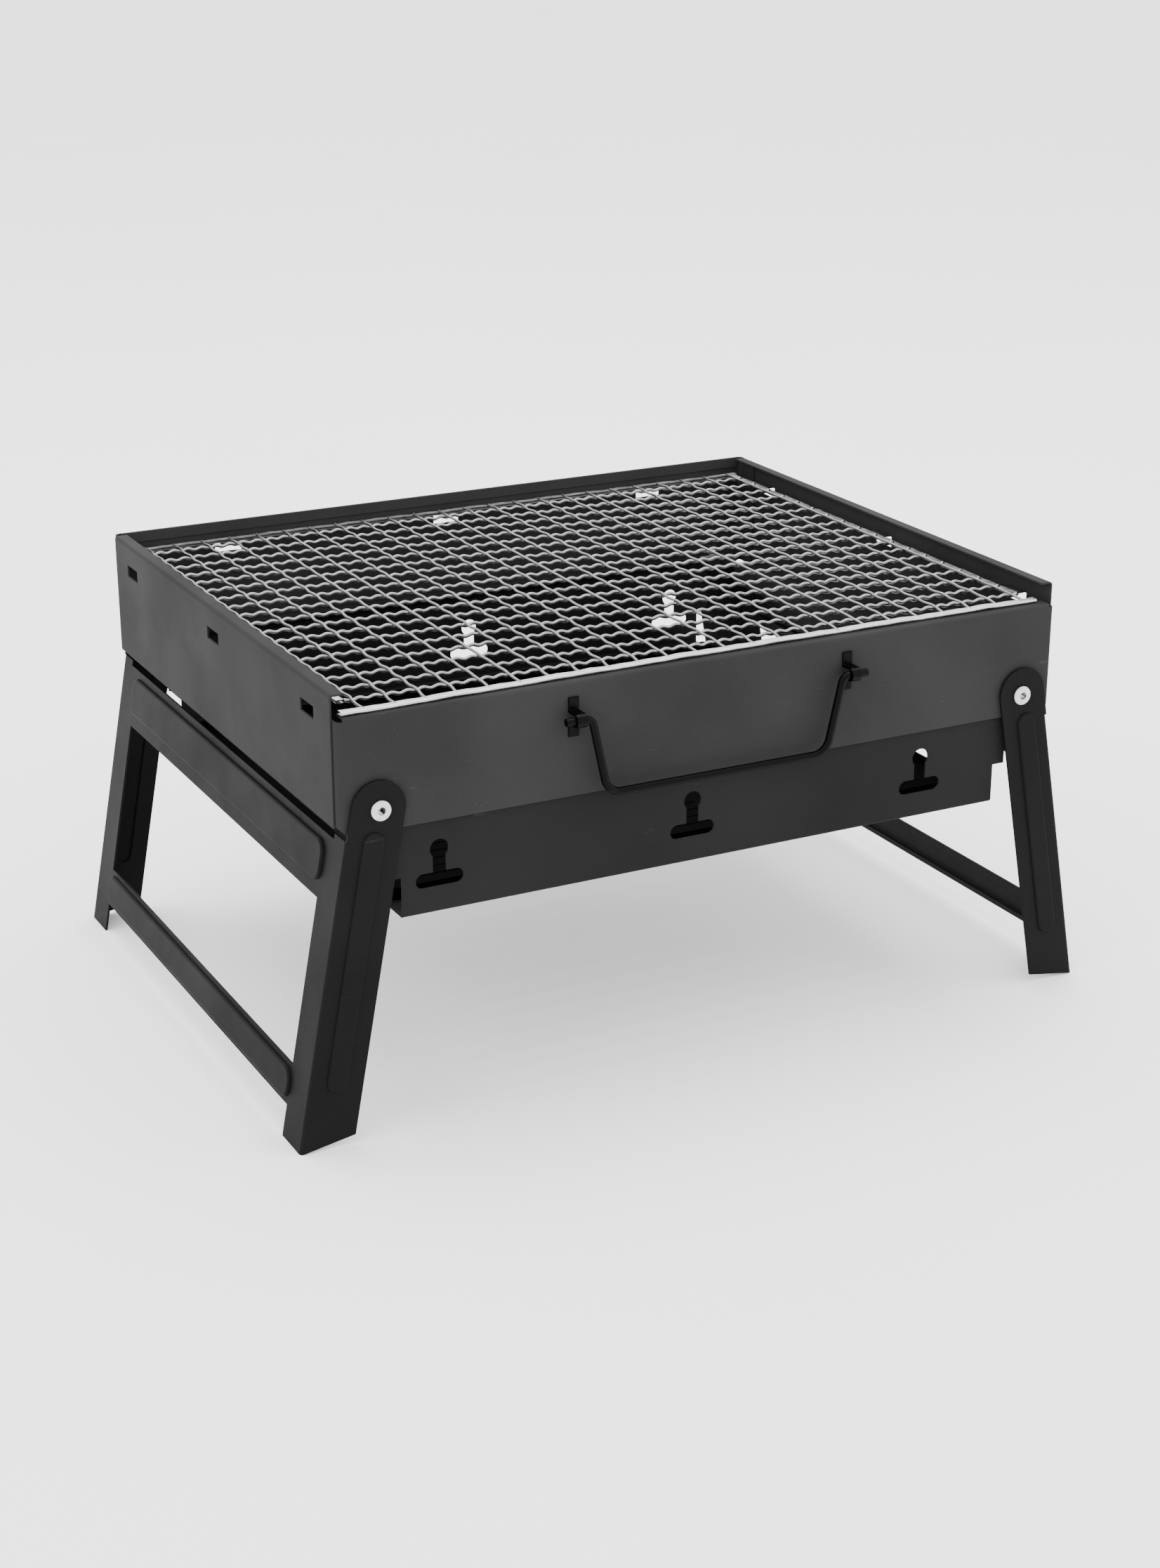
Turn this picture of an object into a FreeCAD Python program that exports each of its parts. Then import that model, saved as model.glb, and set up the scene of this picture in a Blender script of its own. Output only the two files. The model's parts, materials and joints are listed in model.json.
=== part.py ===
import FreeCAD, Part
import math
import os

# Folding camp grill: a sheet-steel firebox on two folding leg frames, with a hinged lower
# box that holds the charcoal tray and a woven net that lifts off the top.
# Millimetres, +Z up, +X along the long side, -Y is the front with the carrying handle.

# Firebox
BODY_LENGTH = 350.0
BODY_DEPTH = 277.0
RIM_TOP = 195.0
FRONT_TOP = 186.0
PANEL_BOTTOM = 136.0
SIDE_BOTTOM = 138.8
SHEET = 0.8
BEND = 1.6
CORNER_BEND = 3.0
CORNER_RETURN = 15.0
CORNER_SEAM = 1.0
CORNER_CUT = 3.5
FRONT_FLANGE = 7.0
SIDE_FLANGE = 6.0
BACK_HEM = 5.0

# Stepped rail inside the lower edge of each side panel
RAIL_X = 165.2
RAIL_BOTTOM = 128.8
RAIL_HALF = 127.4
RAIL_NOTCH = (122.5, 171.8)

# Slots with lanced tabs that carry the net
SLOT_WIDTH = 14.0
SLOT_HEIGHT = 5.5
TAB_WIDTH = 12.0
TAB_REACH = 11.0
SIDE_SLOT_PLACES = (-110.0, 0.0, 110.0)
BACK_SLOT_PLACES = (-117.0, 0.0, 117.0)

# Leg frames, measured along the leg (s, down from the pivot) and across it (n, outward)
PIVOT_X = 157.0
PIVOT_Z = 145.7
SPLAY = 10.6
LEG_SHEET = 1.0
LEG_FACE_Y = 140.3
LEG_OUT = 12.6
LEG_IN = 11.1
LEG_ROUND = 12.6
LEG_LENGTH = 150.6
FOOT_RISE = 4.0
STRIP_WIDTH = 20.5
EAR_WIDTH = 12.3
PLATE_TOP = 14.0
UPPER_BAR = (16.5, 44.5)
LOWER_BAR = (118.5, 136.5)
LEG_BEND = 2.0
TOP_SLOT_HALF = LEG_FACE_Y - EAR_WIDTH
WINDOW_HALF = LEG_FACE_Y - STRIP_WIDTH
BEAD_WIDTH = 9.5
BEAD_HEIGHT = 1.2
BEAD_SPAN = (14.0, 118.0)
BEAD_OFFSET = 0.8
BAR_BEAD_HEIGHT = 1.5
BAR_BEAD_HALF = 121.0
BAR_BEAD_CORNER = 6.0
BEAD_ROUNDING = 0.8
UPPER_BAR_BEAD = (20.0, 38.0)
LOWER_BAR_BEAD = (120.5, 134.5)

# Leg rivets and their washers
RIVET_RADIUS = 2.5
RIVET_HEAD_RADIUS = 4.5
RIVET_HEAD = 1.5
RIVET_HEAD_ROUND = 0.9
RIVET_BORE = 1.7
RIVET_FLARE_RADIUS = 3.2
RIVET_FLARE = 0.8
WASHER_RADIUS = 7.0
RUNNING_GAP = 0.08

# Lower box: front and back flaps on hinge rods
FLAP_LEFT = -147.0
FLAP_RIGHT = 146.0
FLAP_BOTTOM = 95.0
FLAP_EAR = 6.0
FLAP_EAR_BOTTOM = 113.0
FLAP_FACE_Y = 136.6
FLAP_LIP = 19.0
HINGE_Z = 142.5
HINGE_ROD_RADIUS = 1.5
HINGE_ROD_HALF = 164.5
BRACKET_X = 162.0
BRACKET_SHEET = 1.5
BRACKET_FOOT = 8.0
VENT_PLACES = (-130.0, -11.0, 106.0)
VENT_CIRCLE_Z = 123.0
VENT_CIRCLE_RADIUS = 4.2
VENT_STEM_WIDTH = 6.0
VENT_BAR_Z = 109.7
VENT_BAR_WIDTH = 21.5
VENT_BAR_HEIGHT = 6.5

# Charcoal tray that rests on the flap lips
TRAY_HALF_LENGTH = 144.0
TRAY_HALF_WIDTH = 119.0
TRAY_WALL = 5.4
TRAY_SLOT_LENGTH = 46.0
TRAY_SLOT_WIDTH = 1.6
TRAY_SLOT_PITCH = 7.8
TRAY_SLOT_ROWS = (-108.0, -54.0, 0.0, 54.0, 108.0)
TRAY_SLOT_COUNT = 27

# Net
NET_HALF_LENGTH = 167.0
NET_FRONT = -136.0
NET_BACK = 134.0
NET_BAND = 5.0
NET_SHEET = 0.5
NET_HEIGHT = 3.8
NET_WIRE = 1.4
NET_LONG_COUNT = 18
NET_LONG_PITCH = 14.35
NET_CROSS_COUNT = 24
NET_CROSS_PITCH = 14.0

# Handle
HANDLE_WIRE = 1.7
HANDLE_CENTRE = -3.0
HANDLE_Y = -144.8
HANDLE_Z = 171.0
HANDLE_TOP_X = 61.0
HANDLE_BAR_X = 53.5
HANDLE_BAR_Z = 137.0
HANDLE_END_X = 73.0
HANDLE_TOP_BEND = 4.0
HANDLE_BAR_BEND = 8.0
CLIP_X = 66.5
CLIP_WIDTH = 4.6
CLIP_SHEET = 1.0
CLIP_GAP = 0.3
CLIP_FOOT = (162.5, 179.5)

HALF_LENGTH = BODY_LENGTH / 2
HALF_DEPTH = BODY_DEPTH / 2
TURN = math.radians(SPLAY)
FLAP_HINGE_Y = FLAP_FACE_Y - SHEET - HINGE_ROD_RADIUS - RUNNING_GAP
TRAY_Z = FLAP_BOTTOM + SHEET
FRONT_REACH = -HANDLE_Y + HANDLE_WIRE + CLIP_GAP + CLIP_SHEET
BACK_REACH = LEG_FACE_Y + RIVET_HEAD
DEPTH_SHIFT = (FRONT_REACH - BACK_REACH) / 2

X_AXIS = FreeCAD.Vector(1, 0, 0)
Y_AXIS = FreeCAD.Vector(0, 1, 0)
Z_AXIS = FreeCAD.Vector(0, 0, 1)


def vec(x, y, z):
    return FreeCAD.Vector(x, y, z)


def block(x, y, z):
    """A box from (low, high) pairs along each axis."""
    low = vec(min(x), min(y), min(z))
    return Part.makeBox(max(x) - min(x), max(y) - min(y), max(z) - min(z), low)


def rod(radius, start, end):
    return Part.makeCylinder(radius, start.distanceToPoint(end), start, end - start)


def fuse(shapes):
    return shapes[0].multiFuse(shapes[1:]).removeSplitter()


def mirror_x(shape):
    return shape.mirror(vec(0, 0, 0), X_AXIS)


def mirror_y(shape):
    return shape.mirror(vec(0, 0, 0), Y_AXIS)


def half_turn(shape):
    return shape.rotated(vec(0, 0, 0), Z_AXIS, 180)


def rounded(points, radii):
    """Straight edges through points, with a tangent arc at each inner point."""
    edges = []
    start = points[0]
    for before, corner, after, radius in zip(points, points[1:], points[2:], radii):
        back = (before - corner).normalize()
        ahead = (after - corner).normalize()
        half = back.getAngle(ahead) / 2
        reach = radius / math.tan(half)
        middle = corner + (back + ahead).normalize() * (radius / math.sin(half) - radius)
        edges.append(Part.makeLine(start, corner + back * reach))
        edges.append(Part.Arc(corner + back * reach, middle, corner + ahead * reach).toShape())
        start = corner + ahead * reach
    edges.append(Part.makeLine(start, points[-1]))
    return edges


def bent_sheet(points, radius, thickness, normal, sweep):
    """A folded sheet: the line through points, thickened to its left as seen against normal."""
    line = [vec(*p) for p in points]
    left = [normal.cross((b - a).normalize()) for a, b in zip(line, line[1:])]
    offset = [line[0] + left[0] * thickness]
    for before, after, corner in zip(left, left[1:], line[1:]):
        offset.append(corner + (before + after) * (thickness / (1 + before.dot(after))))
    offset.append(line[-1] + left[-1] * thickness)
    inward = [normal.dot(a.cross(b)) > 0 for a, b in zip(left, left[1:])]
    edges = rounded(line, [radius if i else radius - thickness for i in inward])
    edges += rounded(offset, [radius - thickness if i else radius for i in inward])
    edges.append(Part.makeLine(line[0], offset[0]))
    edges.append(Part.makeLine(line[-1], offset[-1]))
    return Part.Face(Part.Wire(Part.__sortEdges__(edges))).extrude(sweep)


def wrapped_panel(top):
    """A front wall whose ends bend round the corners and run back inside the side panels."""
    side = HALF_LENGTH - SHEET
    back = -HALF_DEPTH + CORNER_RETURN
    points = [
        (-side, back, PANEL_BOTTOM),
        (-side, -HALF_DEPTH, PANEL_BOTTOM),
        (side, -HALF_DEPTH, PANEL_BOTTOM),
        (side, back, PANEL_BOTTOM),
    ]
    panel = bent_sheet(points, CORNER_BEND, SHEET, Z_AXIS, vec(0, 0, top - PANEL_BOTTOM))
    cutters = [rod(RIVET_RADIUS + RUNNING_GAP, vec(x, -HALF_DEPTH - SHEET, PIVOT_Z),
                   vec(x, -HALF_DEPTH + 2 * SHEET, PIVOT_Z)) for x in (-PIVOT_X, PIVOT_X)]
    corner = [vec(side - CORNER_CUT, back, PANEL_BOTTOM), vec(side + SHEET, back, PANEL_BOTTOM),
              vec(side + SHEET, back, PANEL_BOTTOM + CORNER_CUT + SHEET)]
    wedge = Part.Face(Part.makePolygon(corner + corner[:1])).extrude(vec(0, -2 * CORNER_RETURN, 0))
    return panel.cut(cutters + [wedge, mirror_x(wedge)])


def front_panel():
    side = HALF_LENGTH - SHEET - CORNER_BEND
    points = [
        (-side, -HALF_DEPTH, FRONT_TOP - 2 * BEND),
        (-side, -HALF_DEPTH, FRONT_TOP),
        (-side, -HALF_DEPTH + FRONT_FLANGE, FRONT_TOP),
    ]
    flange = bent_sheet(points, BEND, SHEET, -X_AXIS, vec(2 * side, 0, 0))
    return fuse([wrapped_panel(FRONT_TOP - BEND), flange])


def back_panel():
    panel = mirror_y(wrapped_panel(RIM_TOP))
    hem_side = HALF_LENGTH - SHEET - CORNER_BEND
    inner = HALF_DEPTH - SHEET
    hem_end = HALF_DEPTH - CORNER_BEND - CORNER_SEAM
    pieces = [block((-hem_side, hem_side), (inner - SHEET, inner), (RIM_TOP - BACK_HEM, RIM_TOP))]
    slots = []
    for x in BACK_SLOT_PLACES:
        slots.append(block((x - SLOT_WIDTH / 2, x + SLOT_WIDTH / 2), (inner - SHEET, HALF_DEPTH + SHEET),
                           (FRONT_TOP - SHEET - SLOT_HEIGHT, FRONT_TOP - SHEET)))
        pieces.append(block((x - TAB_WIDTH / 2, x + TAB_WIDTH / 2), (HALF_DEPTH - TAB_REACH, inner),
                            (FRONT_TOP - SHEET, FRONT_TOP)))
    below_flange = block((hem_side, HALF_LENGTH), (0, hem_end), (RIM_TOP - BEND, RIM_TOP))
    return fuse([panel.cut(slots + [below_flange, mirror_x(below_flange)])] + pieces)


def right_side_panel():
    end = HALF_DEPTH - CORNER_BEND - CORNER_SEAM
    points = [
        (HALF_LENGTH, -end, SIDE_BOTTOM),
        (HALF_LENGTH, -end, RIM_TOP),
        (HALF_LENGTH - SIDE_FLANGE, -end, RIM_TOP),
    ]
    panel = bent_sheet(points, BEND, SHEET, -Y_AXIS, vec(0, 2 * end, 0))
    inner = HALF_LENGTH - SHEET
    ledge = SIDE_BOTTOM + SHEET
    rail = bent_sheet([(inner, -RAIL_HALF, ledge), (RAIL_X, -RAIL_HALF, ledge),
                       (RAIL_X, -RAIL_HALF, RAIL_BOTTOM)], BEND, SHEET, -Y_AXIS, vec(0, 2 * RAIL_HALF, 0))
    notch = block((RAIL_NOTCH[1], inner), (RAIL_NOTCH[0], RAIL_HALF), (SIDE_BOTTOM, ledge))
    rail = rail.cut([notch, mirror_y(notch)])
    slots = []
    tabs = []
    for y in SIDE_SLOT_PLACES:
        slots.append(block((inner - SHEET, HALF_LENGTH + SHEET), (y - SLOT_WIDTH / 2, y + SLOT_WIDTH / 2),
                           (FRONT_TOP - SHEET - SLOT_HEIGHT, FRONT_TOP - SHEET)))
        tabs.append(block((HALF_LENGTH - TAB_REACH, inner), (y - TAB_WIDTH / 2, y + TAB_WIDTH / 2),
                          (FRONT_TOP - SHEET, FRONT_TOP)))
    return fuse([panel.cut(slots), rail] + tabs)


def leg_bead(inset):
    """The long bead pressed into a leg's wide face; inset by the sheet it is the hollow behind."""
    x, y = -PIVOT_X - BEAD_OFFSET, -LEG_FACE_Y + inset
    half = BEAD_WIDTH / 2 - inset
    top, bottom = (PIVOT_Z - s for s in BEAD_SPAN)
    ends = [rod(half, vec(x, y, z), vec(x, y - BEAD_HEIGHT, z)) for z in (top, bottom)]
    middle = block((x - half, x + half), (y - BEAD_HEIGHT, y), (bottom, top))
    bead = fuse([middle] + ends)
    rim = [e for e in bead.Edges if e.BoundBox.YMax < y - BEAD_HEIGHT + SHEET / 10]
    return bead.makeFillet(BEAD_HEIGHT * BEAD_ROUNDING, rim)


def bar_bead(span, inset):
    """The broad bead pressed along a cross bar; inset by the sheet it is the hollow behind."""
    x = -PIVOT_X - LEG_OUT + inset
    bead = block((x - BAR_BEAD_HEIGHT, x), (inset - BAR_BEAD_HALF, BAR_BEAD_HALF - inset),
                 (PIVOT_Z - span[1] + inset, PIVOT_Z - span[0] - inset))
    corners = [e for e in bead.Edges if e.BoundBox.XLength > BAR_BEAD_HEIGHT / 2]
    bead = bead.makeFillet(BAR_BEAD_CORNER - inset, corners)
    rim = [e for e in bead.Edges if e.BoundBox.XMax < x - BAR_BEAD_HEIGHT + SHEET / 10]
    return bead.makeFillet(BAR_BEAD_HEIGHT * BEAD_ROUNDING, rim)


def leg_beads(inset):
    bead = leg_bead(inset)
    return [bead, mirror_y(bead)] + [bar_bead(span, inset) for span in (UPPER_BAR_BEAD, LOWER_BAR_BEAD)]


def leg_ear():
    """The round top of a leg's wide face, above the bend."""
    outer, inner = -PIVOT_X - LEG_OUT, -PIVOT_X + LEG_IN
    y = -LEG_FACE_Y
    low = PIVOT_Z - PLATE_TOP
    crown = vec((outer + inner) / 2, y, PIVOT_Z + LEG_ROUND)
    start, end = vec(outer, y, PIVOT_Z), vec(inner, y, PIVOT_Z)
    arch = Part.Arc(start, crown, end).toShape()
    sides = Part.makePolygon([end, vec(inner, y, low), vec(outer, y, low), start])
    return Part.Face(Part.Wire([arch] + sides.Edges)).extrude(vec(0, LEG_SHEET, 0))


def leg_windows():
    """The openings of the H: above the upper bar, between the bars and between the feet."""
    x = (-PIVOT_X - LEG_OUT - LEG_SHEET, -PIVOT_X - LEG_OUT + 2 * LEG_SHEET)
    spans = [(TOP_SLOT_HALF, 0, UPPER_BAR[0]), (WINDOW_HALF, UPPER_BAR[1], LOWER_BAR[0]),
             (WINDOW_HALF, LOWER_BAR[1], 2 * LEG_LENGTH)]
    return [block(x, (-half, half), (PIVOT_Z - low, PIVOT_Z - high)) for half, high, low in spans]


def foot_trim():
    """The space under the feet: level below the plate, rising inward below the wide face."""
    level = -PIVOT_X - LEG_LENGTH * math.sin(TURN) - (LEG_OUT - LEG_SHEET) * math.cos(TURN)
    far = level + 2 * LEG_OUT
    rise = FOOT_RISE / (LEG_OUT + LEG_IN) * (far - level)
    depth = 2 * LEG_LENGTH
    corners = [vec(level - LEG_LENGTH, -depth, 0), vec(level, -depth, 0), vec(far, -depth, rise),
               vec(far, -depth, -LEG_LENGTH), vec(level - LEG_LENGTH, -depth, -LEG_LENGTH)]
    return Part.Face(Part.makePolygon(corners + corners[:1])).extrude(vec(0, 2 * depth, 0))


def left_leg_frame():
    outer, inner = -PIVOT_X - LEG_OUT, -PIVOT_X + LEG_IN
    top, bottom = PIVOT_Z - PLATE_TOP, PIVOT_Z - LEG_LENGTH - LEG_OUT
    points = [(inner, -LEG_FACE_Y, top), (outer, -LEG_FACE_Y, top), (outer, LEG_FACE_Y, top),
              (inner, LEG_FACE_Y, top)]
    channel = bent_sheet(points, LEG_BEND, LEG_SHEET, -Z_AXIS, vec(0, 0, bottom - top))
    channel = channel.cut(leg_windows())
    ear = leg_ear()
    frame = fuse([channel, ear, mirror_y(ear)] + leg_beads(0)).cut(leg_beads(LEG_SHEET))
    pivot = vec(-PIVOT_X, 0, PIVOT_Z)
    bore = rod(RIVET_RADIUS + RUNNING_GAP, pivot - Y_AXIS * BODY_DEPTH, pivot + Y_AXIS * BODY_DEPTH)
    return frame.cut(bore).rotated(pivot, Y_AXIS, SPLAY).cut(foot_trim())


def at_pivots(shape):
    """Copies of a piece made at the front left pivot, one for each of the four leg pivots."""
    pair = [shape, mirror_x(shape)]
    return Part.makeCompound(pair + [mirror_y(s) for s in pair])


def leg_rivets():
    def point(y):
        return vec(-PIVOT_X, y, PIVOT_Z)
    inner_face = -HALF_DEPTH + SHEET
    shank = rod(RIVET_RADIUS, point(-LEG_FACE_Y), point(inner_face))
    head = rod(RIVET_HEAD_RADIUS, point(-LEG_FACE_Y - RIVET_HEAD), point(-LEG_FACE_Y))
    crown = min(head.Edges, key=lambda e: e.BoundBox.YMax)
    head = head.makeFillet(RIVET_HEAD_ROUND, [crown])
    flare = rod(RIVET_FLARE_RADIUS, point(inner_face), point(inner_face + RIVET_FLARE))
    bore = rod(RIVET_BORE, point(-LEG_FACE_Y - RIVET_HEAD), point(inner_face + RIVET_FLARE))
    return at_pivots(fuse([shank, head, flare]).cut(bore))


def leg_washers():
    outer = vec(-PIVOT_X, -LEG_FACE_Y + LEG_SHEET, PIVOT_Z)
    inner = vec(-PIVOT_X, -HALF_DEPTH, PIVOT_Z)
    ring = rod(WASHER_RADIUS, outer, inner).cut(rod(RIVET_RADIUS + RUNNING_GAP, outer, inner))
    return at_pivots(ring)


def vent(x):
    """One upside-down T: a round top, a stem and a long bar with round ends."""
    def hole(radius, at_x, z):
        return rod(radius, vec(at_x, -HALF_DEPTH, z), vec(at_x, -FLAP_FACE_Y + 2 * SHEET, z))
    end = VENT_BAR_HEIGHT / 2
    reach = VENT_BAR_WIDTH / 2 - end
    y = (-HALF_DEPTH, -FLAP_FACE_Y + 2 * SHEET)
    stem = block((x - VENT_STEM_WIDTH / 2, x + VENT_STEM_WIDTH / 2), y, (VENT_BAR_Z, VENT_CIRCLE_Z))
    bar = block((x - reach, x + reach), y, (VENT_BAR_Z - end, VENT_BAR_Z + end))
    return [hole(VENT_CIRCLE_RADIUS, x, VENT_CIRCLE_Z), stem, bar,
            hole(end, x - reach, VENT_BAR_Z), hole(end, x + reach, VENT_BAR_Z)]


def front_flap():
    length = FLAP_RIGHT - FLAP_LEFT
    points = [
        (FLAP_LEFT, -FLAP_FACE_Y, HINGE_Z),
        (FLAP_LEFT, -FLAP_FACE_Y, FLAP_BOTTOM),
        (FLAP_LEFT, -FLAP_FACE_Y + FLAP_LIP, FLAP_BOTTOM),
    ]
    wall = bent_sheet(points, BEND, SHEET, X_AXIS, vec(length, 0, 0))
    ears = block((FLAP_LEFT - FLAP_EAR, FLAP_RIGHT + FLAP_EAR), (-FLAP_FACE_Y, SHEET - FLAP_FACE_Y),
                 (FLAP_EAR_BOTTOM, HINGE_Z))
    ends = [vec(x, -FLAP_HINGE_Y, HINGE_Z) for x in (FLAP_LEFT, FLAP_RIGHT)]
    knuckle_bore = HINGE_ROD_RADIUS + RUNNING_GAP
    flap = fuse([wall, ears, rod(knuckle_bore + SHEET, *ends)]).cut(rod(knuckle_bore, *ends))
    return flap.cut([cutter for x in VENT_PLACES for cutter in vent(x)])


def front_hinge_rod():
    return rod(HINGE_ROD_RADIUS, vec(-HINGE_ROD_HALF, -FLAP_HINGE_Y, HINGE_Z),
               vec(HINGE_ROD_HALF, -FLAP_HINGE_Y, HINGE_Z))


def front_right_bracket():
    """An angle on the inside of the front panel that holds one end of the hinge rod."""
    wall = -HALF_DEPTH + SHEET
    half = HINGE_ROD_RADIUS + 2 * BRACKET_SHEET
    height = (HINGE_Z - half, HINGE_Z + half)
    plate = block((BRACKET_X, BRACKET_X + BRACKET_SHEET), (wall, -FLAP_HINGE_Y + half), height)
    foot = block((BRACKET_X, BRACKET_X + BRACKET_FOOT), (wall, wall + SHEET), height)
    start = vec(BRACKET_X - BRACKET_SHEET, -FLAP_HINGE_Y, HINGE_Z)
    bore = rod(HINGE_ROD_RADIUS + RUNNING_GAP / 2, start, start + X_AXIS * BRACKET_FOOT)
    return fuse([plate, foot]).cut(bore)


def charcoal_tray():
    length, width, height = TRAY_HALF_LENGTH, TRAY_HALF_WIDTH, TRAY_Z + TRAY_WALL
    shell = block((-length, length), (-width, width), (TRAY_Z, height))
    upright = [e for e in shell.Edges if e.BoundBox.ZLength > TRAY_WALL / 2]
    shell = shell.makeFillet(CORNER_BEND, upright)
    inside = block((SHEET - length, length - SHEET), (SHEET - width, width - SHEET), (TRAY_Z + SHEET, height))
    upright = [e for e in inside.Edges if e.BoundBox.ZLength > TRAY_WALL / 2]
    inside = inside.makeFillet(CORNER_BEND - SHEET, upright)
    slots = []
    for x in TRAY_SLOT_ROWS:
        for index in range(TRAY_SLOT_COUNT):
            y = (index - (TRAY_SLOT_COUNT - 1) / 2) * TRAY_SLOT_PITCH
            slots.append(block((x - TRAY_SLOT_LENGTH / 2, x + TRAY_SLOT_LENGTH / 2),
                               (y - TRAY_SLOT_WIDTH / 2, y + TRAY_SLOT_WIDTH / 2),
                               (TRAY_Z - SHEET, TRAY_Z + 2 * SHEET)))
    return shell.cut(inside).cut(Part.makeCompound(slots))


def net_rim():
    """A folded band round the net, open on its inner side, that grips the wire ends."""
    x, y, z = NET_HALF_LENGTH, (NET_FRONT, NET_BACK), (FRONT_TOP, FRONT_TOP + NET_HEIGHT)
    outer = block((-x, x), y, z)
    upright = [e for e in outer.Edges if e.BoundBox.ZLength > NET_HEIGHT / 2]
    outer = outer.makeFillet(CORNER_BEND, upright)
    window = block((NET_BAND - x, x - NET_BAND), (y[0] + NET_BAND, y[1] - NET_BAND), z)
    groove = block((NET_SHEET - x, x - NET_SHEET), (y[0] + NET_SHEET, y[1] - NET_SHEET),
                   (z[0] + NET_SHEET, z[1] - NET_SHEET))
    return outer.cut([window, groove])


def net_places(middle, pitch, count):
    return [middle + pitch * (index - (count - 1) / 2) for index in range(count)]


def net_long_wires():
    z = FRONT_TOP + NET_SHEET + NET_WIRE / 2
    end = NET_HALF_LENGTH - 2 * NET_SHEET
    places = net_places((NET_FRONT + NET_BACK) / 2, NET_LONG_PITCH, NET_LONG_COUNT)
    return Part.makeCompound([rod(NET_WIRE / 2, vec(-end, y, z), vec(end, y, z)) for y in places])


def net_cross_wires():
    z = FRONT_TOP + NET_SHEET + NET_WIRE * 1.5
    front, back = NET_FRONT + 2 * NET_SHEET, NET_BACK - 2 * NET_SHEET
    places = net_places(0, NET_CROSS_PITCH, NET_CROSS_COUNT)
    return Part.makeCompound([rod(NET_WIRE / 2, vec(x, front, z), vec(x, back, z)) for x in places])


def handle():
    """A wire bail: its ends turn outward through the clips, and its bar hangs below."""
    places = [(-HANDLE_END_X, HANDLE_Z), (-HANDLE_TOP_X, HANDLE_Z), (-HANDLE_BAR_X, HANDLE_BAR_Z),
              (HANDLE_BAR_X, HANDLE_BAR_Z), (HANDLE_TOP_X, HANDLE_Z), (HANDLE_END_X, HANDLE_Z)]
    points = [vec(x, HANDLE_Y, z) for x, z in places]
    bends = [HANDLE_TOP_BEND, HANDLE_BAR_BEND, HANDLE_BAR_BEND, HANDLE_TOP_BEND]
    path = Part.Wire(rounded(points, bends))
    ring = Part.Wire(Part.makeCircle(HANDLE_WIRE, points[0], X_AXIS))
    return path.makePipeShell([ring], True, False).translated(X_AXIS * HANDLE_CENTRE)


def right_handle_clip():
    """A strap bent over the handle wire, with one foot on the panel above and one below."""
    x = (CLIP_X - CLIP_WIDTH / 2, CLIP_X + CLIP_WIDTH / 2)
    inner = HANDLE_WIRE + CLIP_GAP
    outer = inner + CLIP_SHEET
    centre = [vec(end, HANDLE_Y, HANDLE_Z) for end in x]
    loop = [rod(outer, *centre), block(x, (HANDLE_Y, -HALF_DEPTH), (HANDLE_Z - outer, HANDLE_Z + outer))]
    feet = block(x, (-HALF_DEPTH - CLIP_SHEET, -HALF_DEPTH), CLIP_FOOT)
    hollow = [rod(inner, *centre), block(x, (HANDLE_Y, -HALF_DEPTH), (HANDLE_Z - inner, HANDLE_Z + inner))]
    return fuse(loop + [feet]).cut(hollow)


def nodes():
    side, leg, clip = right_side_panel(), left_leg_frame(), right_handle_clip()
    flap, hinge_rod, bracket = front_flap(), front_hinge_rod(), front_right_bracket()
    return {
        "front_panel": front_panel(),
        "back_panel": back_panel(),
        "left_side_panel": mirror_x(side),
        "right_side_panel": side,
        "left_leg_frame": leg,
        "right_leg_frame": mirror_x(leg),
        "leg_rivets": leg_rivets(),
        "leg_washers": leg_washers(),
        "front_flap": flap,
        "back_flap": half_turn(flap),
        "front_hinge_rod": hinge_rod,
        "back_hinge_rod": mirror_y(hinge_rod),
        "hinge_bracket_front_left": mirror_x(bracket),
        "hinge_bracket_front_right": bracket,
        "hinge_bracket_back_left": half_turn(bracket),
        "hinge_bracket_back_right": mirror_y(bracket),
        "charcoal_tray": charcoal_tray(),
        "net_rim": net_rim(),
        "net_long_wires": net_long_wires(),
        "net_cross_wires": net_cross_wires(),
        "handle": handle(),
        "handle_clip_left": mirror_x(clip).translated(X_AXIS * HANDLE_CENTRE),
        "handle_clip_right": clip.translated(X_AXIS * HANDLE_CENTRE),
    }


def main():
    os.makedirs("parts", exist_ok=True)
    for name, shape in nodes().items():
        shape.translate(vec(0, DEPTH_SHIFT, 0))
        shape.exportStep(f"parts/{name}.step")


main()
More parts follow.
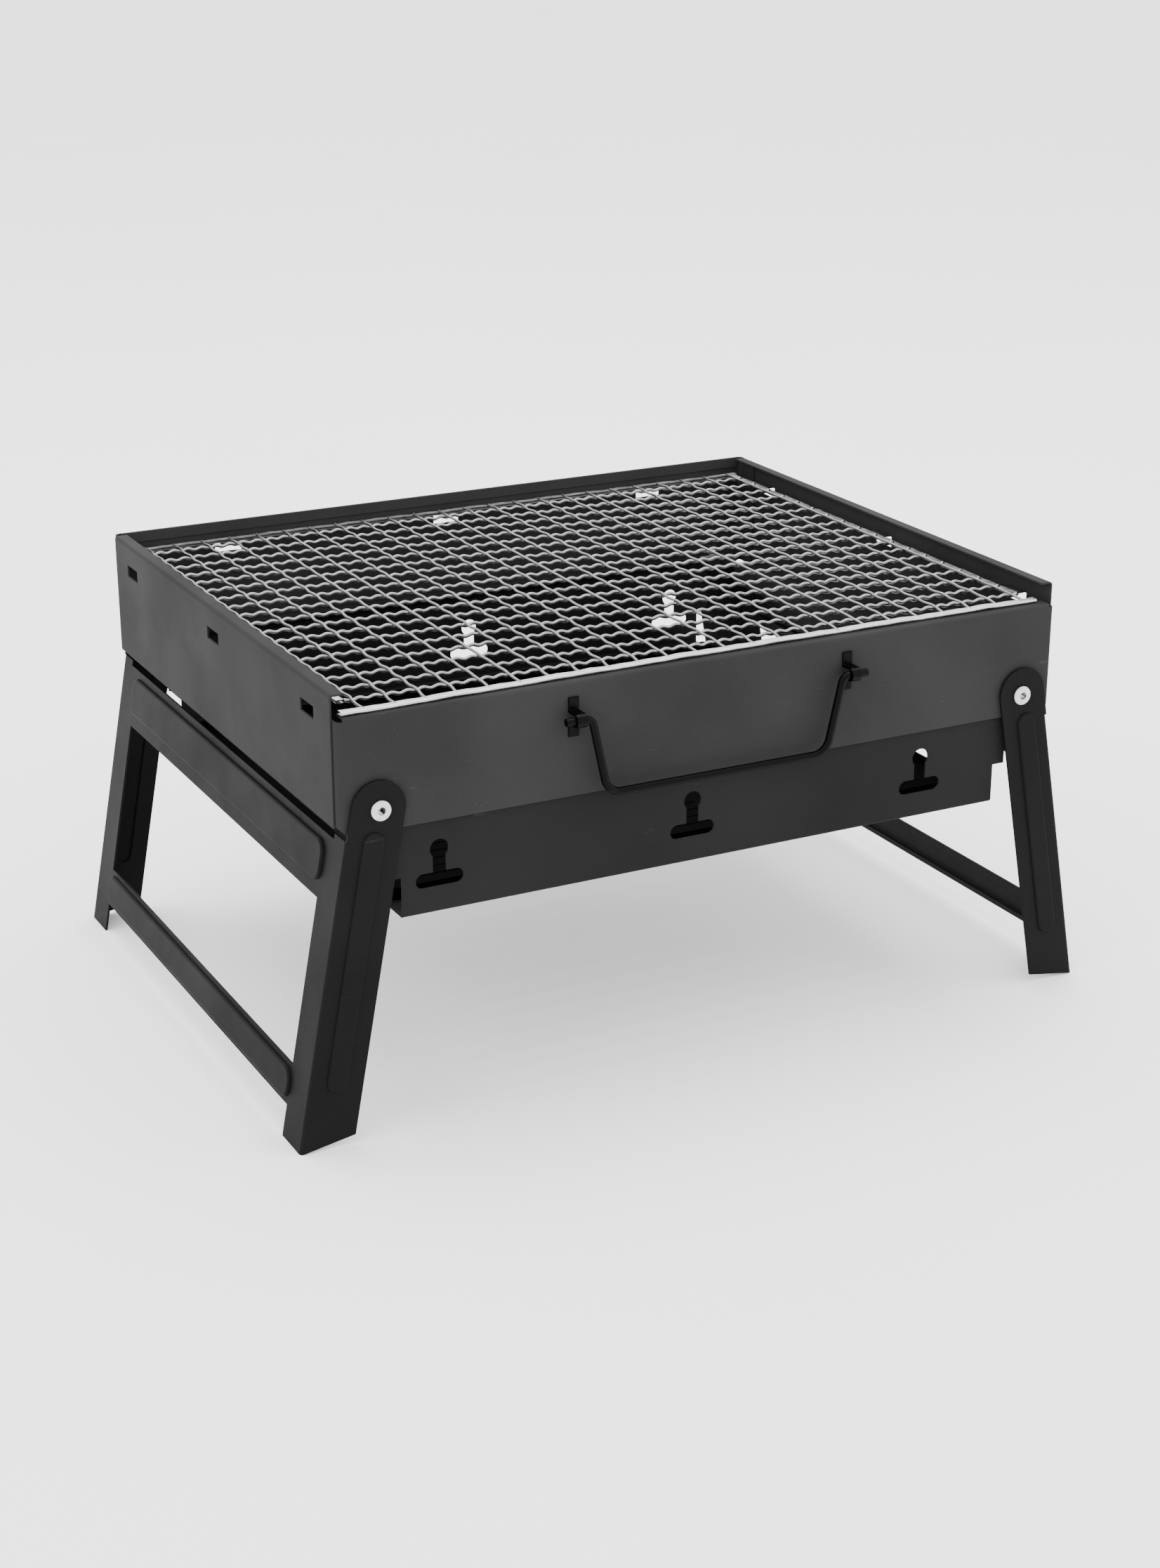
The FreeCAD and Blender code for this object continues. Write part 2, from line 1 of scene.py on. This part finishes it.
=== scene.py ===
import bmesh
import bpy
import json
import math
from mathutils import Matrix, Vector


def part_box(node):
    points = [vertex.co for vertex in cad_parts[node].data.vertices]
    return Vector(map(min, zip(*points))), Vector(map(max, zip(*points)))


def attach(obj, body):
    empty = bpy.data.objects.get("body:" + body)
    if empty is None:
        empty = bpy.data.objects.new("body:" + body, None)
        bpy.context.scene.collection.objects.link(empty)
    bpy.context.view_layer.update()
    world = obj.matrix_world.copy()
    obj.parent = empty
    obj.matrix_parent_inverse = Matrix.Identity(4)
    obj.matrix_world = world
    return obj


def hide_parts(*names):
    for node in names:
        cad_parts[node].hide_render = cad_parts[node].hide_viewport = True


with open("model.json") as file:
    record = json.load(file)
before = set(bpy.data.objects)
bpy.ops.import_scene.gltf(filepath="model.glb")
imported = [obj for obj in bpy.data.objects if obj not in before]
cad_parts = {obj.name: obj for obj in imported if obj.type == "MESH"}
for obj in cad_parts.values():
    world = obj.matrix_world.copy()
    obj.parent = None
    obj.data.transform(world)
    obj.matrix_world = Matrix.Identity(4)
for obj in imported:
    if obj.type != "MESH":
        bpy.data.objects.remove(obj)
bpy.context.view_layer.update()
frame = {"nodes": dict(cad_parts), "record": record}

# Camera: place in metres, heading and tilt that give the photograph's view, lens in mm
CAMERA_PLACE = (-0.5335, -1.0372, 0.5206)
CAMERA_HEADING = math.radians(27.39)
CAMERA_TILT = math.radians(20.51)
CAMERA_LENS = 59.9
SENSOR = 36.0

# Net wires, in metres: long wires run left to right, cross wires front to back
LONG_COUNT = 18
LONG_PITCH = 0.01435
LONG_RADIUS = 0.00082
CROSS_COUNT = 24
CROSS_PITCH = 0.0140
CROSS_RADIUS = 0.00062
WIRE_SIDES = 8
WIRE_STEP = 0.0009
WIRE_LEVEL = 0.0016                 # long wires' centre above the bottom of the net's box
WIRE_END = 0.0016                   # from a wire's end to the edge of the net
CRIMP = 0.00044                     # height of a crimp above and below the centre
CRIMPS_PER_CELL = 2
CRIMP_LEAN = 0.00030                # sideways wander of a long wire
CRIMPS_PER_LEAN = 4
CROSS_RISE = 0.00060                # cross wires' centre above the long wires'
CROSS_WAVE = 0.00030
CROSS_DIP = 0.00090                 # how far the front ends go down into the band

# Folded band round the net
BAND_WIDTH = 0.0034
BAND_HEIGHT = 0.0018
BAND_SHEET = 0.0004
BAND_FOLD = 0.0008                  # outer radius of the fold
FOLD_STEPS = 4
FOLD_ANGLE = 90.0
BAND_LEVEL = 0.0002                 # front and back bands above the bottom of the net's box
BAND_BOW = 0.0028
BOW_TURN = 0.8 * math.pi            # angle of the sine wave that the bow follows
BAND_OVERHANG = (-0.0042, -0.0012)
SIDE_BAND_START = 0.0150
BAND_STEPS = 90
RIPPLES = (                         # height, turn over the band's length, start angle
    (0.00012, 41, 1.7),
    (0.00008, 97, 0.0),
)
PINCH = 0.14                        # how much the open edge closes between wires
PINCH_TURN = 24 * math.pi
SHARP_EDGE = math.radians(40)

# Paint texture: noises are (scale, detail) or (scale, detail, roughness), per metre of surface
NOISE_RANGE = (0.3, 0.7)
CLOUDS = (14.0, 4.0)
CLOUD_SHADES = (0.86, 1.16)
CLOUD_TINT = 0.02
SPECK_SCALE = 420.0
SPECK_RANGE = (0.10, 0.04)
SPECK_PATCHES = (60.0, 3.0)
SPECK_PATCH_RANGE = (0.52, 0.72)
DUST_SHADE = (4.0, 0.04)            # times the paint's shade, plus this much
SCUFFS = (38.0, 6.0, 0.7)
SCUFF_STRETCH = (1.0, 1.0, 5.0)
SCUFF_RANGE = (0.66, 0.74)
SCUFF_COVER = 0.30
SCUFF_SHADE = (2.6, 0.02)
SCUFF_ROUGHNESS = 0.12
GLOSS_PATCHES = (22.0, 5.0, 0.6)
GLOSS_SPREAD = (-0.06, 0.07)
PEEL = (1500.0, 2.0)
PEEL_BUMP = (0.00012, 0.28)         # depth in metres, strength
WAVINESS = (9.0, 1.0)
WAVE_BUMP = (0.0015, 0.12)
EDGE_RADIUS = 0.0004
EDGE_SAMPLES = 4

# Zinc texture, with the noises given in the same way
SPANGLE = (260.0, 3.0)
SPANGLE_SHADES = (0.88, 1.06)
SPANGLE_GLOSS = (-0.05, 0.06)
PLATE_TINT = 0.01
DULL_SPOTS = (70.0, 5.0, 0.7)
DULL_RANGE = (0.55, 0.75)
DULL_COVER = 0.45
DULL_SHADE = 0.55
DULL_ROUGHNESS = 0.16
DRAWING = (1800.0, 2.0)
DRAWING_BUMP = (0.00006, 0.35)

# Paints: material name, shade, roughness, IOR, dust
PAINTS = {
    "body_paint": ("body_paint_satin", 0.0230, 0.50, 1.06, 0.35),
    "leg_paint": ("leg_paint_satin", 0.0070, 0.44, 1.09, 0.35),
    "flap_paint": ("flap_paint_satin", 0.0118, 0.47, 1.08, 0.35),
    # The tray is black paint, set darker still as painted shade for the shadowed inside of the firebox
    "tray_paint": ("tray_paint_dull_painted_shade", 0.0026, 0.72, 1.04, 0.35),
    "handle_black": ("handle_paint_gloss", 0.0010, 0.30, 1.14, 0.20),
}

# Platings: material name, shade, roughness, fineness of the texture
PLATINGS = {
    "rivet_zinc": ("rivet_plate", 0.55, 0.26, 2.0),
    "rod_steel": ("rod_plate", 0.45, 0.34, 1.0),
    "net_rim_zinc": ("net_rim_plate", 0.50, 0.38, 1.0),
    "net_wire_zinc": ("net_wire_plate", 0.24, 0.36, 1.6),
}

# Studio: softboxes are (name, place, size, watts)
FLOOR_HALF = 14.0
FLOOR_CELLS = 4
FLOOR_DROP = 0.0002
FLOOR_MOTTLE = (3.0, 2.0)
FLOOR_SHADES = (0.93, 0.95)
FLOOR_ROUGHNESS = 0.85
SKY_STRENGTH = 2.7
LIGHT_TARGET = (0.0, 0.0, 0.12)
SOFTBOXES = (
    ("key", (-1.9, -0.5, 1.3), (1.2, 1.2), 10.0),
    ("top", (0.2, 0.5, 2.2), (2.2, 1.6), 50.0),
    ("fill", (1.9, -1.5, 1.0), (1.2, 1.0), 8.0),
)

# Colour sockets of Blender's Mix node, which share their names with its other sockets
MIX_INPUTS = (6, 7)
MIX_RESULT = 2


# ---------------------------------------------------------------- node helpers

class Shader:
    """A material under construction, with short calls for the nodes it needs."""

    def __init__(self, name):
        self.material = bpy.data.materials.new(name)
        self.material.use_nodes = True
        self.tree = self.material.node_tree
        self.bsdf = self.tree.nodes["Principled BSDF"]
        self.place = self.tree.nodes.new("ShaderNodeTexCoord").outputs["Object"]

    def link(self, source, target):
        self.tree.links.new(source, target)

    def set(self, **values):
        for name, value in values.items():
            self.bsdf.inputs[name.replace("_", " ")].default_value = value

    def stretched(self, scale):
        node = self.tree.nodes.new("ShaderNodeMapping")
        node.inputs["Scale"].default_value = scale
        self.link(self.place, node.inputs["Vector"])
        return node.outputs["Vector"]

    def noise(self, scale, detail, rough=0.5, vector=None):
        node = self.tree.nodes.new("ShaderNodeTexNoise")
        node.inputs["Scale"].default_value = scale
        node.inputs["Detail"].default_value = detail
        node.inputs["Roughness"].default_value = rough
        self.link(vector or self.place, node.inputs["Vector"])
        return node.outputs["Fac"]

    def spots(self, scale):
        node = self.tree.nodes.new("ShaderNodeTexVoronoi")
        node.inputs["Scale"].default_value = scale
        self.link(self.place, node.inputs["Vector"])
        return node.outputs["Distance"]

    def remap(self, value, low, high, to_low=0.0, to_high=1.0):
        node = self.tree.nodes.new("ShaderNodeMapRange")
        node.inputs["From Min"].default_value = low
        node.inputs["From Max"].default_value = high
        node.inputs["To Min"].default_value = to_low
        node.inputs["To Max"].default_value = to_high
        self.link(value, node.inputs["Value"])
        return node.outputs["Result"]

    def math(self, operation, a, b):
        node = self.tree.nodes.new("ShaderNodeMath")
        node.operation = operation
        for socket, value in zip(node.inputs, (a, b)):
            if isinstance(value, (int, float)):
                socket.default_value = value
            else:
                self.link(value, socket)
        return node.outputs["Value"]

    def blend(self, factor, a, b):
        node = self.tree.nodes.new("ShaderNodeMix")
        node.data_type = "RGBA"
        self.link(factor, node.inputs["Factor"])
        for index, value in zip(MIX_INPUTS, (a, b)):
            socket = node.inputs[index]
            if isinstance(value, tuple):
                socket.default_value = value
            else:
                self.link(value, socket)
        return node.outputs[MIX_RESULT]

    def bump(self, height, distance, strength, under=None):
        node = self.tree.nodes.new("ShaderNodeBump")
        node.inputs["Strength"].default_value = strength
        node.inputs["Distance"].default_value = distance
        self.link(height, node.inputs["Height"])
        if under is not None:
            self.link(under, node.inputs["Normal"])
        return node.outputs["Normal"]

    def soft_edges(self):
        node = self.tree.nodes.new("ShaderNodeBevel")
        node.samples = EDGE_SAMPLES
        node.inputs["Radius"].default_value = EDGE_RADIUS
        return node.outputs["Normal"]

    def color(self, source):
        self.link(source, self.bsdf.inputs["Base Color"])

    def roughness(self, source):
        self.link(source, self.bsdf.inputs["Roughness"])

    def normal(self, source):
        self.link(source, self.bsdf.inputs["Normal"])


def grey(value, tint=0.0):
    """A grey as RGBA, with its blue raised by the tint."""
    return (value, value, value * (1 + tint), 1.0)


def paint(name, shade, rough, ior, dust):
    """Sprayed black stove paint on sheet steel: fine orange peel, faint clouding, dust and scuffs."""
    s = Shader(name)
    s.set(IOR=ior)
    clouds = s.remap(s.noise(*CLOUDS), *NOISE_RANGE)
    dark, light = (shade * share for share in CLOUD_SHADES)
    body = s.blend(clouds, grey(dark), grey(light, CLOUD_TINT))
    specks = s.remap(s.spots(SPECK_SCALE), *SPECK_RANGE)
    specks = s.math("MULTIPLY", specks, s.remap(s.noise(*SPECK_PATCHES), *SPECK_PATCH_RANGE))
    dusty = s.blend(s.math("MULTIPLY", specks, dust), body, grey(shade * DUST_SHADE[0] + DUST_SHADE[1]))
    scuffs = s.remap(s.noise(*SCUFFS, s.stretched(SCUFF_STRETCH)), *SCUFF_RANGE)
    worn = grey(shade * SCUFF_SHADE[0] + SCUFF_SHADE[1])
    s.color(s.blend(s.math("MULTIPLY", scuffs, SCUFF_COVER), dusty, worn))
    smoothest, roughest = (rough + spread for spread in GLOSS_SPREAD)
    patches = s.remap(s.noise(*GLOSS_PATCHES), *NOISE_RANGE, smoothest, roughest)
    s.roughness(s.math("ADD", patches, s.math("MULTIPLY", scuffs, SCUFF_ROUGHNESS)))
    peel = s.bump(s.noise(*PEEL), *PEEL_BUMP, s.soft_edges())
    s.normal(s.bump(s.noise(*WAVINESS), *WAVE_BUMP, peel))
    return s.material


def plated(name, shade, rough, fineness):
    """Bright zinc plate, slightly mottled, with fine drawing lines and dull spots."""
    s = Shader(name)
    s.set(Metallic=1.0)
    spangle = s.remap(s.noise(SPANGLE[0] * fineness, SPANGLE[1]), *NOISE_RANGE)
    dull = s.remap(s.noise(DULL_SPOTS[0] * fineness, *DULL_SPOTS[1:]), *DULL_RANGE)
    dark, light = (grey(shade * share, PLATE_TINT) for share in SPANGLE_SHADES)
    bright = s.blend(spangle, dark, light)
    s.color(s.blend(s.math("MULTIPLY", dull, DULL_COVER), bright, grey(shade * DULL_SHADE)))
    smoothest, roughest = (rough + spread for spread in SPANGLE_GLOSS)
    gloss = s.remap(spangle, 0.0, 1.0, smoothest, roughest)
    s.roughness(s.math("ADD", gloss, s.math("MULTIPLY", dull, DULL_ROUGHNESS)))
    s.normal(s.bump(s.noise(DRAWING[0] * fineness, DRAWING[1]), *DRAWING_BUMP))
    return s.material


def studio_floor():
    """A pale card with a faint mottle."""
    s = Shader("floor_card")
    dark, light = (grey(shade) for shade in FLOOR_SHADES)
    s.color(s.blend(s.remap(s.noise(*FLOOR_MOTTLE), *NOISE_RANGE), dark, light))
    s.set(Roughness=FLOOR_ROUGHNESS)
    return s.material


# ---------------------------------------------------------------- mesh helpers

def add_mesh(name, verts, faces, material):
    """Makes a smooth-shaded object from vertices and faces."""
    mesh = bpy.data.meshes.new(name)
    mesh.from_pydata([tuple(v) for v in verts], [], faces)
    mesh.update()
    mesh.shade_smooth()
    mesh.materials.append(material)
    piece = bpy.data.objects.new(name, mesh)
    bpy.context.scene.collection.objects.link(piece)
    return piece


def tube(points, across, radius, verts, faces):
    """Adds a capped round tube along points; across is roughly square to its run."""
    start = len(verts)
    count = len(points)
    sides = WIRE_SIDES
    for index, point in enumerate(points):
        ahead = points[min(index + 1, count - 1)] - points[max(index - 1, 0)]
        ahead.normalize()
        side = across.cross(ahead).normalized()
        up = ahead.cross(side)
        for turn in range(sides):
            angle = 2 * math.pi * turn / sides
            out, rise = radius * math.cos(angle), radius * math.sin(angle)
            verts.append(point + side * out + up * rise)
    for ring in range(count - 1):
        for turn in range(sides):
            a = start + ring * sides + turn
            b = start + ring * sides + (turn + 1) % sides
            faces.append((a, b, b + sides, a + sides))
    faces.append(tuple(start + turn for turn in reversed(range(sides))))
    faces.append(tuple(start + (count - 1) * sides + turn for turn in range(sides)))


# ---------------------------------------------------------------- net

def long_wires(material):
    """The strongly crimped wires that run along the grill."""
    low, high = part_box("net_long_wires")
    middle = (low + high) / 2
    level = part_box("net_rim")[0].z + WIRE_LEVEL
    left, right = low.x + WIRE_END, high.x - WIRE_END
    verts, faces = [], []
    steps = int((right - left) / WIRE_STEP)
    for row in range(LONG_COUNT):
        y = middle.y + (row - (LONG_COUNT - 1) / 2) * LONG_PITCH
        points = []
        for step in range(steps + 1):
            x = left + (right - left) * step / steps
            phase = 2 * math.pi * CRIMPS_PER_CELL * (x - middle.x - CROSS_PITCH / 2) / CROSS_PITCH
            lean = CRIMP_LEAN * math.sin(phase / CRIMPS_PER_LEAN + row)
            points.append(Vector((x, y + lean, level - CRIMP * math.cos(phase))))
        tube(points, Vector((0, 1, 0)), LONG_RADIUS, verts, faces)
    return add_mesh("net_crimped_long_wires", verts, faces, material)


def cross_wires(material):
    """The straighter wires that run from front to back, bedded in the crimps."""
    low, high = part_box("net_cross_wires")
    middle = (low + high) / 2
    rim_low, rim_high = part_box("net_rim")
    level = rim_low.z + WIRE_LEVEL + CROSS_RISE
    back = high.y - WIRE_END
    verts, faces = [], []
    for column in range(CROSS_COUNT):
        x = middle.x + (column - (CROSS_COUNT - 1) / 2) * CROSS_PITCH
        share = (x - rim_low.x) / (rim_high.x - rim_low.x)
        front = rim_low.y + band_curve(BAND_BOW, share) + BAND_FOLD
        steps = int((back - front) / WIRE_STEP)
        points = []
        for step in range(steps + 1):
            y = front + (back - front) * step / steps
            phase = 2 * math.pi * (y - middle.y - LONG_PITCH / 2) / LONG_PITCH
            lean = CROSS_WAVE * math.sin(phase + column)
            rise = CROSS_WAVE * math.cos(phase) / 2
            dip = CROSS_DIP * max(0.0, 1 - (y - front) / LONG_PITCH)
            points.append(Vector((x + lean, y, level + rise - dip)))
        tube(points, Vector((1, 0, 0)), CROSS_RADIUS, verts, faces)
    return add_mesh("net_woven_cross_wires", verts, faces, material)


def band_profile():
    """The folded strip seen on end, as (inward, up) pairs: outside first, then back inside."""
    outline = []
    for radius, inset in ((BAND_FOLD, 0.0), (BAND_FOLD - BAND_SHEET, BAND_SHEET)):
        run = [(BAND_WIDTH, inset)]
        for centre, first in ((BAND_FOLD, -FOLD_ANGLE), (BAND_HEIGHT - BAND_FOLD, 2 * FOLD_ANGLE)):
            for turn in range(FOLD_STEPS + 1):
                angle = math.radians(first - FOLD_ANGLE / FOLD_STEPS * turn)
                reach, up = radius * math.cos(angle), radius * math.sin(angle)
                run.append((BAND_FOLD + reach, centre + up))
        run.append((BAND_WIDTH, BAND_HEIGHT - inset))
        outline += run if not inset else run[::-1]
    return outline


def band_curve(bow, share):
    """How far the band sits back from a straight line, along its length from 0 to 1."""
    return bow * math.sin(BOW_TURN * share)


def band(start, end, inward, bow, verts, faces):
    """One side of the folded band, slightly bowed and not quite flat, with open ends."""
    profile = band_profile()
    base = len(verts)
    count = len(profile)
    for step in range(BAND_STEPS + 1):
        share = step / BAND_STEPS
        curve = band_curve(bow, share)
        ripple = sum(height * math.sin(rate * share + shift) for height, rate, shift in RIPPLES)
        place = start.lerp(end, share) + inward * (curve + abs(ripple))
        for reach, up in profile:
            pinch = 1 - PINCH * abs(math.sin(PINCH_TURN * share)) if up > BAND_FOLD else 1
            verts.append(place + inward * reach + Vector((0, 0, up * pinch + ripple)))
    for step in range(BAND_STEPS):
        for index in range(count):
            a = base + step * count + index
            b = base + step * count + (index + 1) % count
            faces.append((a, b, b + count, a + count))


def net_band(material):
    """The folded band's four sides; the side strips start behind the front corners."""
    low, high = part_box("net_rim")
    level = low.z + BAND_LEVEL
    front_left, front_right = Vector((low.x, low.y, level)), Vector((high.x, low.y, level))
    back_left, back_right = Vector((low.x, high.y, level)), Vector((high.x, high.y, level))
    overhang = Vector((BAND_OVERHANG[0], BAND_OVERHANG[1], 0))
    sink = Vector((0, 0, -BAND_LEVEL))
    front, back = Vector((0, SIDE_BAND_START, 0)), Vector((0, -BAND_WIDTH, 0))
    sides = (
        (front_left + overhang, front_right, (0, 1, 0), BAND_BOW),
        (back_right, back_left, (0, -1, 0), 0.0),
        (back_left + sink + back, front_left + sink + front, (1, 0, 0), 0.0),
        (front_right + sink + front, back_right + sink + back, (-1, 0, 0), 0.0),
    )
    verts, faces = [], []
    for start, end, inward, bow in sides:
        band(start, end, Vector(inward), bow, verts, faces)
    piece = add_mesh("net_folded_band", verts, faces, material)
    piece.data.set_sharp_from_angle(angle=SHARP_EDGE)
    return piece


# ---------------------------------------------------------------- studio

def add_camera():
    data = bpy.data.cameras.new("camera")
    data.lens = CAMERA_LENS
    data.sensor_width = SENSOR
    data.sensor_fit = "AUTO"
    camera = bpy.data.objects.new("camera", data)
    camera.location = CAMERA_PLACE
    camera.rotation_euler = (math.pi / 2 - CAMERA_TILT, 0, -CAMERA_HEADING)
    bpy.context.scene.collection.objects.link(camera)
    bpy.context.scene.camera = camera


def add_floor():
    bm = bmesh.new()
    bmesh.ops.create_grid(bm, x_segments=FLOOR_CELLS, y_segments=FLOOR_CELLS, size=FLOOR_HALF)
    mesh = bpy.data.meshes.new("floor")
    bm.to_mesh(mesh)
    bm.free()
    mesh.materials.append(studio_floor())
    floor = bpy.data.objects.new("floor", mesh)
    floor.location = (0, 0, -FLOOR_DROP)
    bpy.context.scene.collection.objects.link(floor)


def softbox(name, place, size, watts):
    """A rectangular area light that points at the grill."""
    data = bpy.data.lights.new(name, "AREA")
    data.shape = "RECTANGLE"
    data.size, data.size_y = size
    data.energy = watts
    lamp = bpy.data.objects.new(name, data)
    lamp.location = place
    aim = Vector(LIGHT_TARGET) - Vector(place)
    lamp.rotation_euler = aim.to_track_quat("-Z", "Y").to_euler()
    bpy.context.scene.collection.objects.link(lamp)


def add_light():
    world = bpy.data.worlds.new("studio")
    world.use_nodes = True
    sky = world.node_tree.nodes["Background"]
    sky.inputs["Color"].default_value = (1.0, 1.0, 1.0, 1.0)
    sky.inputs["Strength"].default_value = SKY_STRENGTH
    bpy.context.scene.world = world
    for lamp in SOFTBOXES:
        softbox(*lamp)


def paint_nodes(finishes):
    """Gives every CAD node the material of its slot."""
    for part in frame["record"]["subparts"]:
        node = frame["nodes"][part["node"]]
        node.data.materials.clear()
        node.data.materials.append(finishes[part["material_slot"]])


def detail_net(finishes):
    """Puts the detailed wires and band in place of the net's CAD nodes."""
    for build, cad_node, slot in (
            (long_wires, "net_long_wires", "net_wire_zinc"),
            (cross_wires, "net_cross_wires", "net_wire_zinc"),
            (net_band, "net_rim", "net_rim_zinc")):
        piece = build(finishes[slot])
        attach(piece, "net")
        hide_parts(cad_node)


def main():
    add_camera()
    add_floor()
    add_light()
    finishes = {slot: paint(*look) for slot, look in PAINTS.items()}
    finishes.update({slot: plated(*look) for slot, look in PLATINGS.items()})
    paint_nodes(finishes)
    detail_net(finishes)


main()
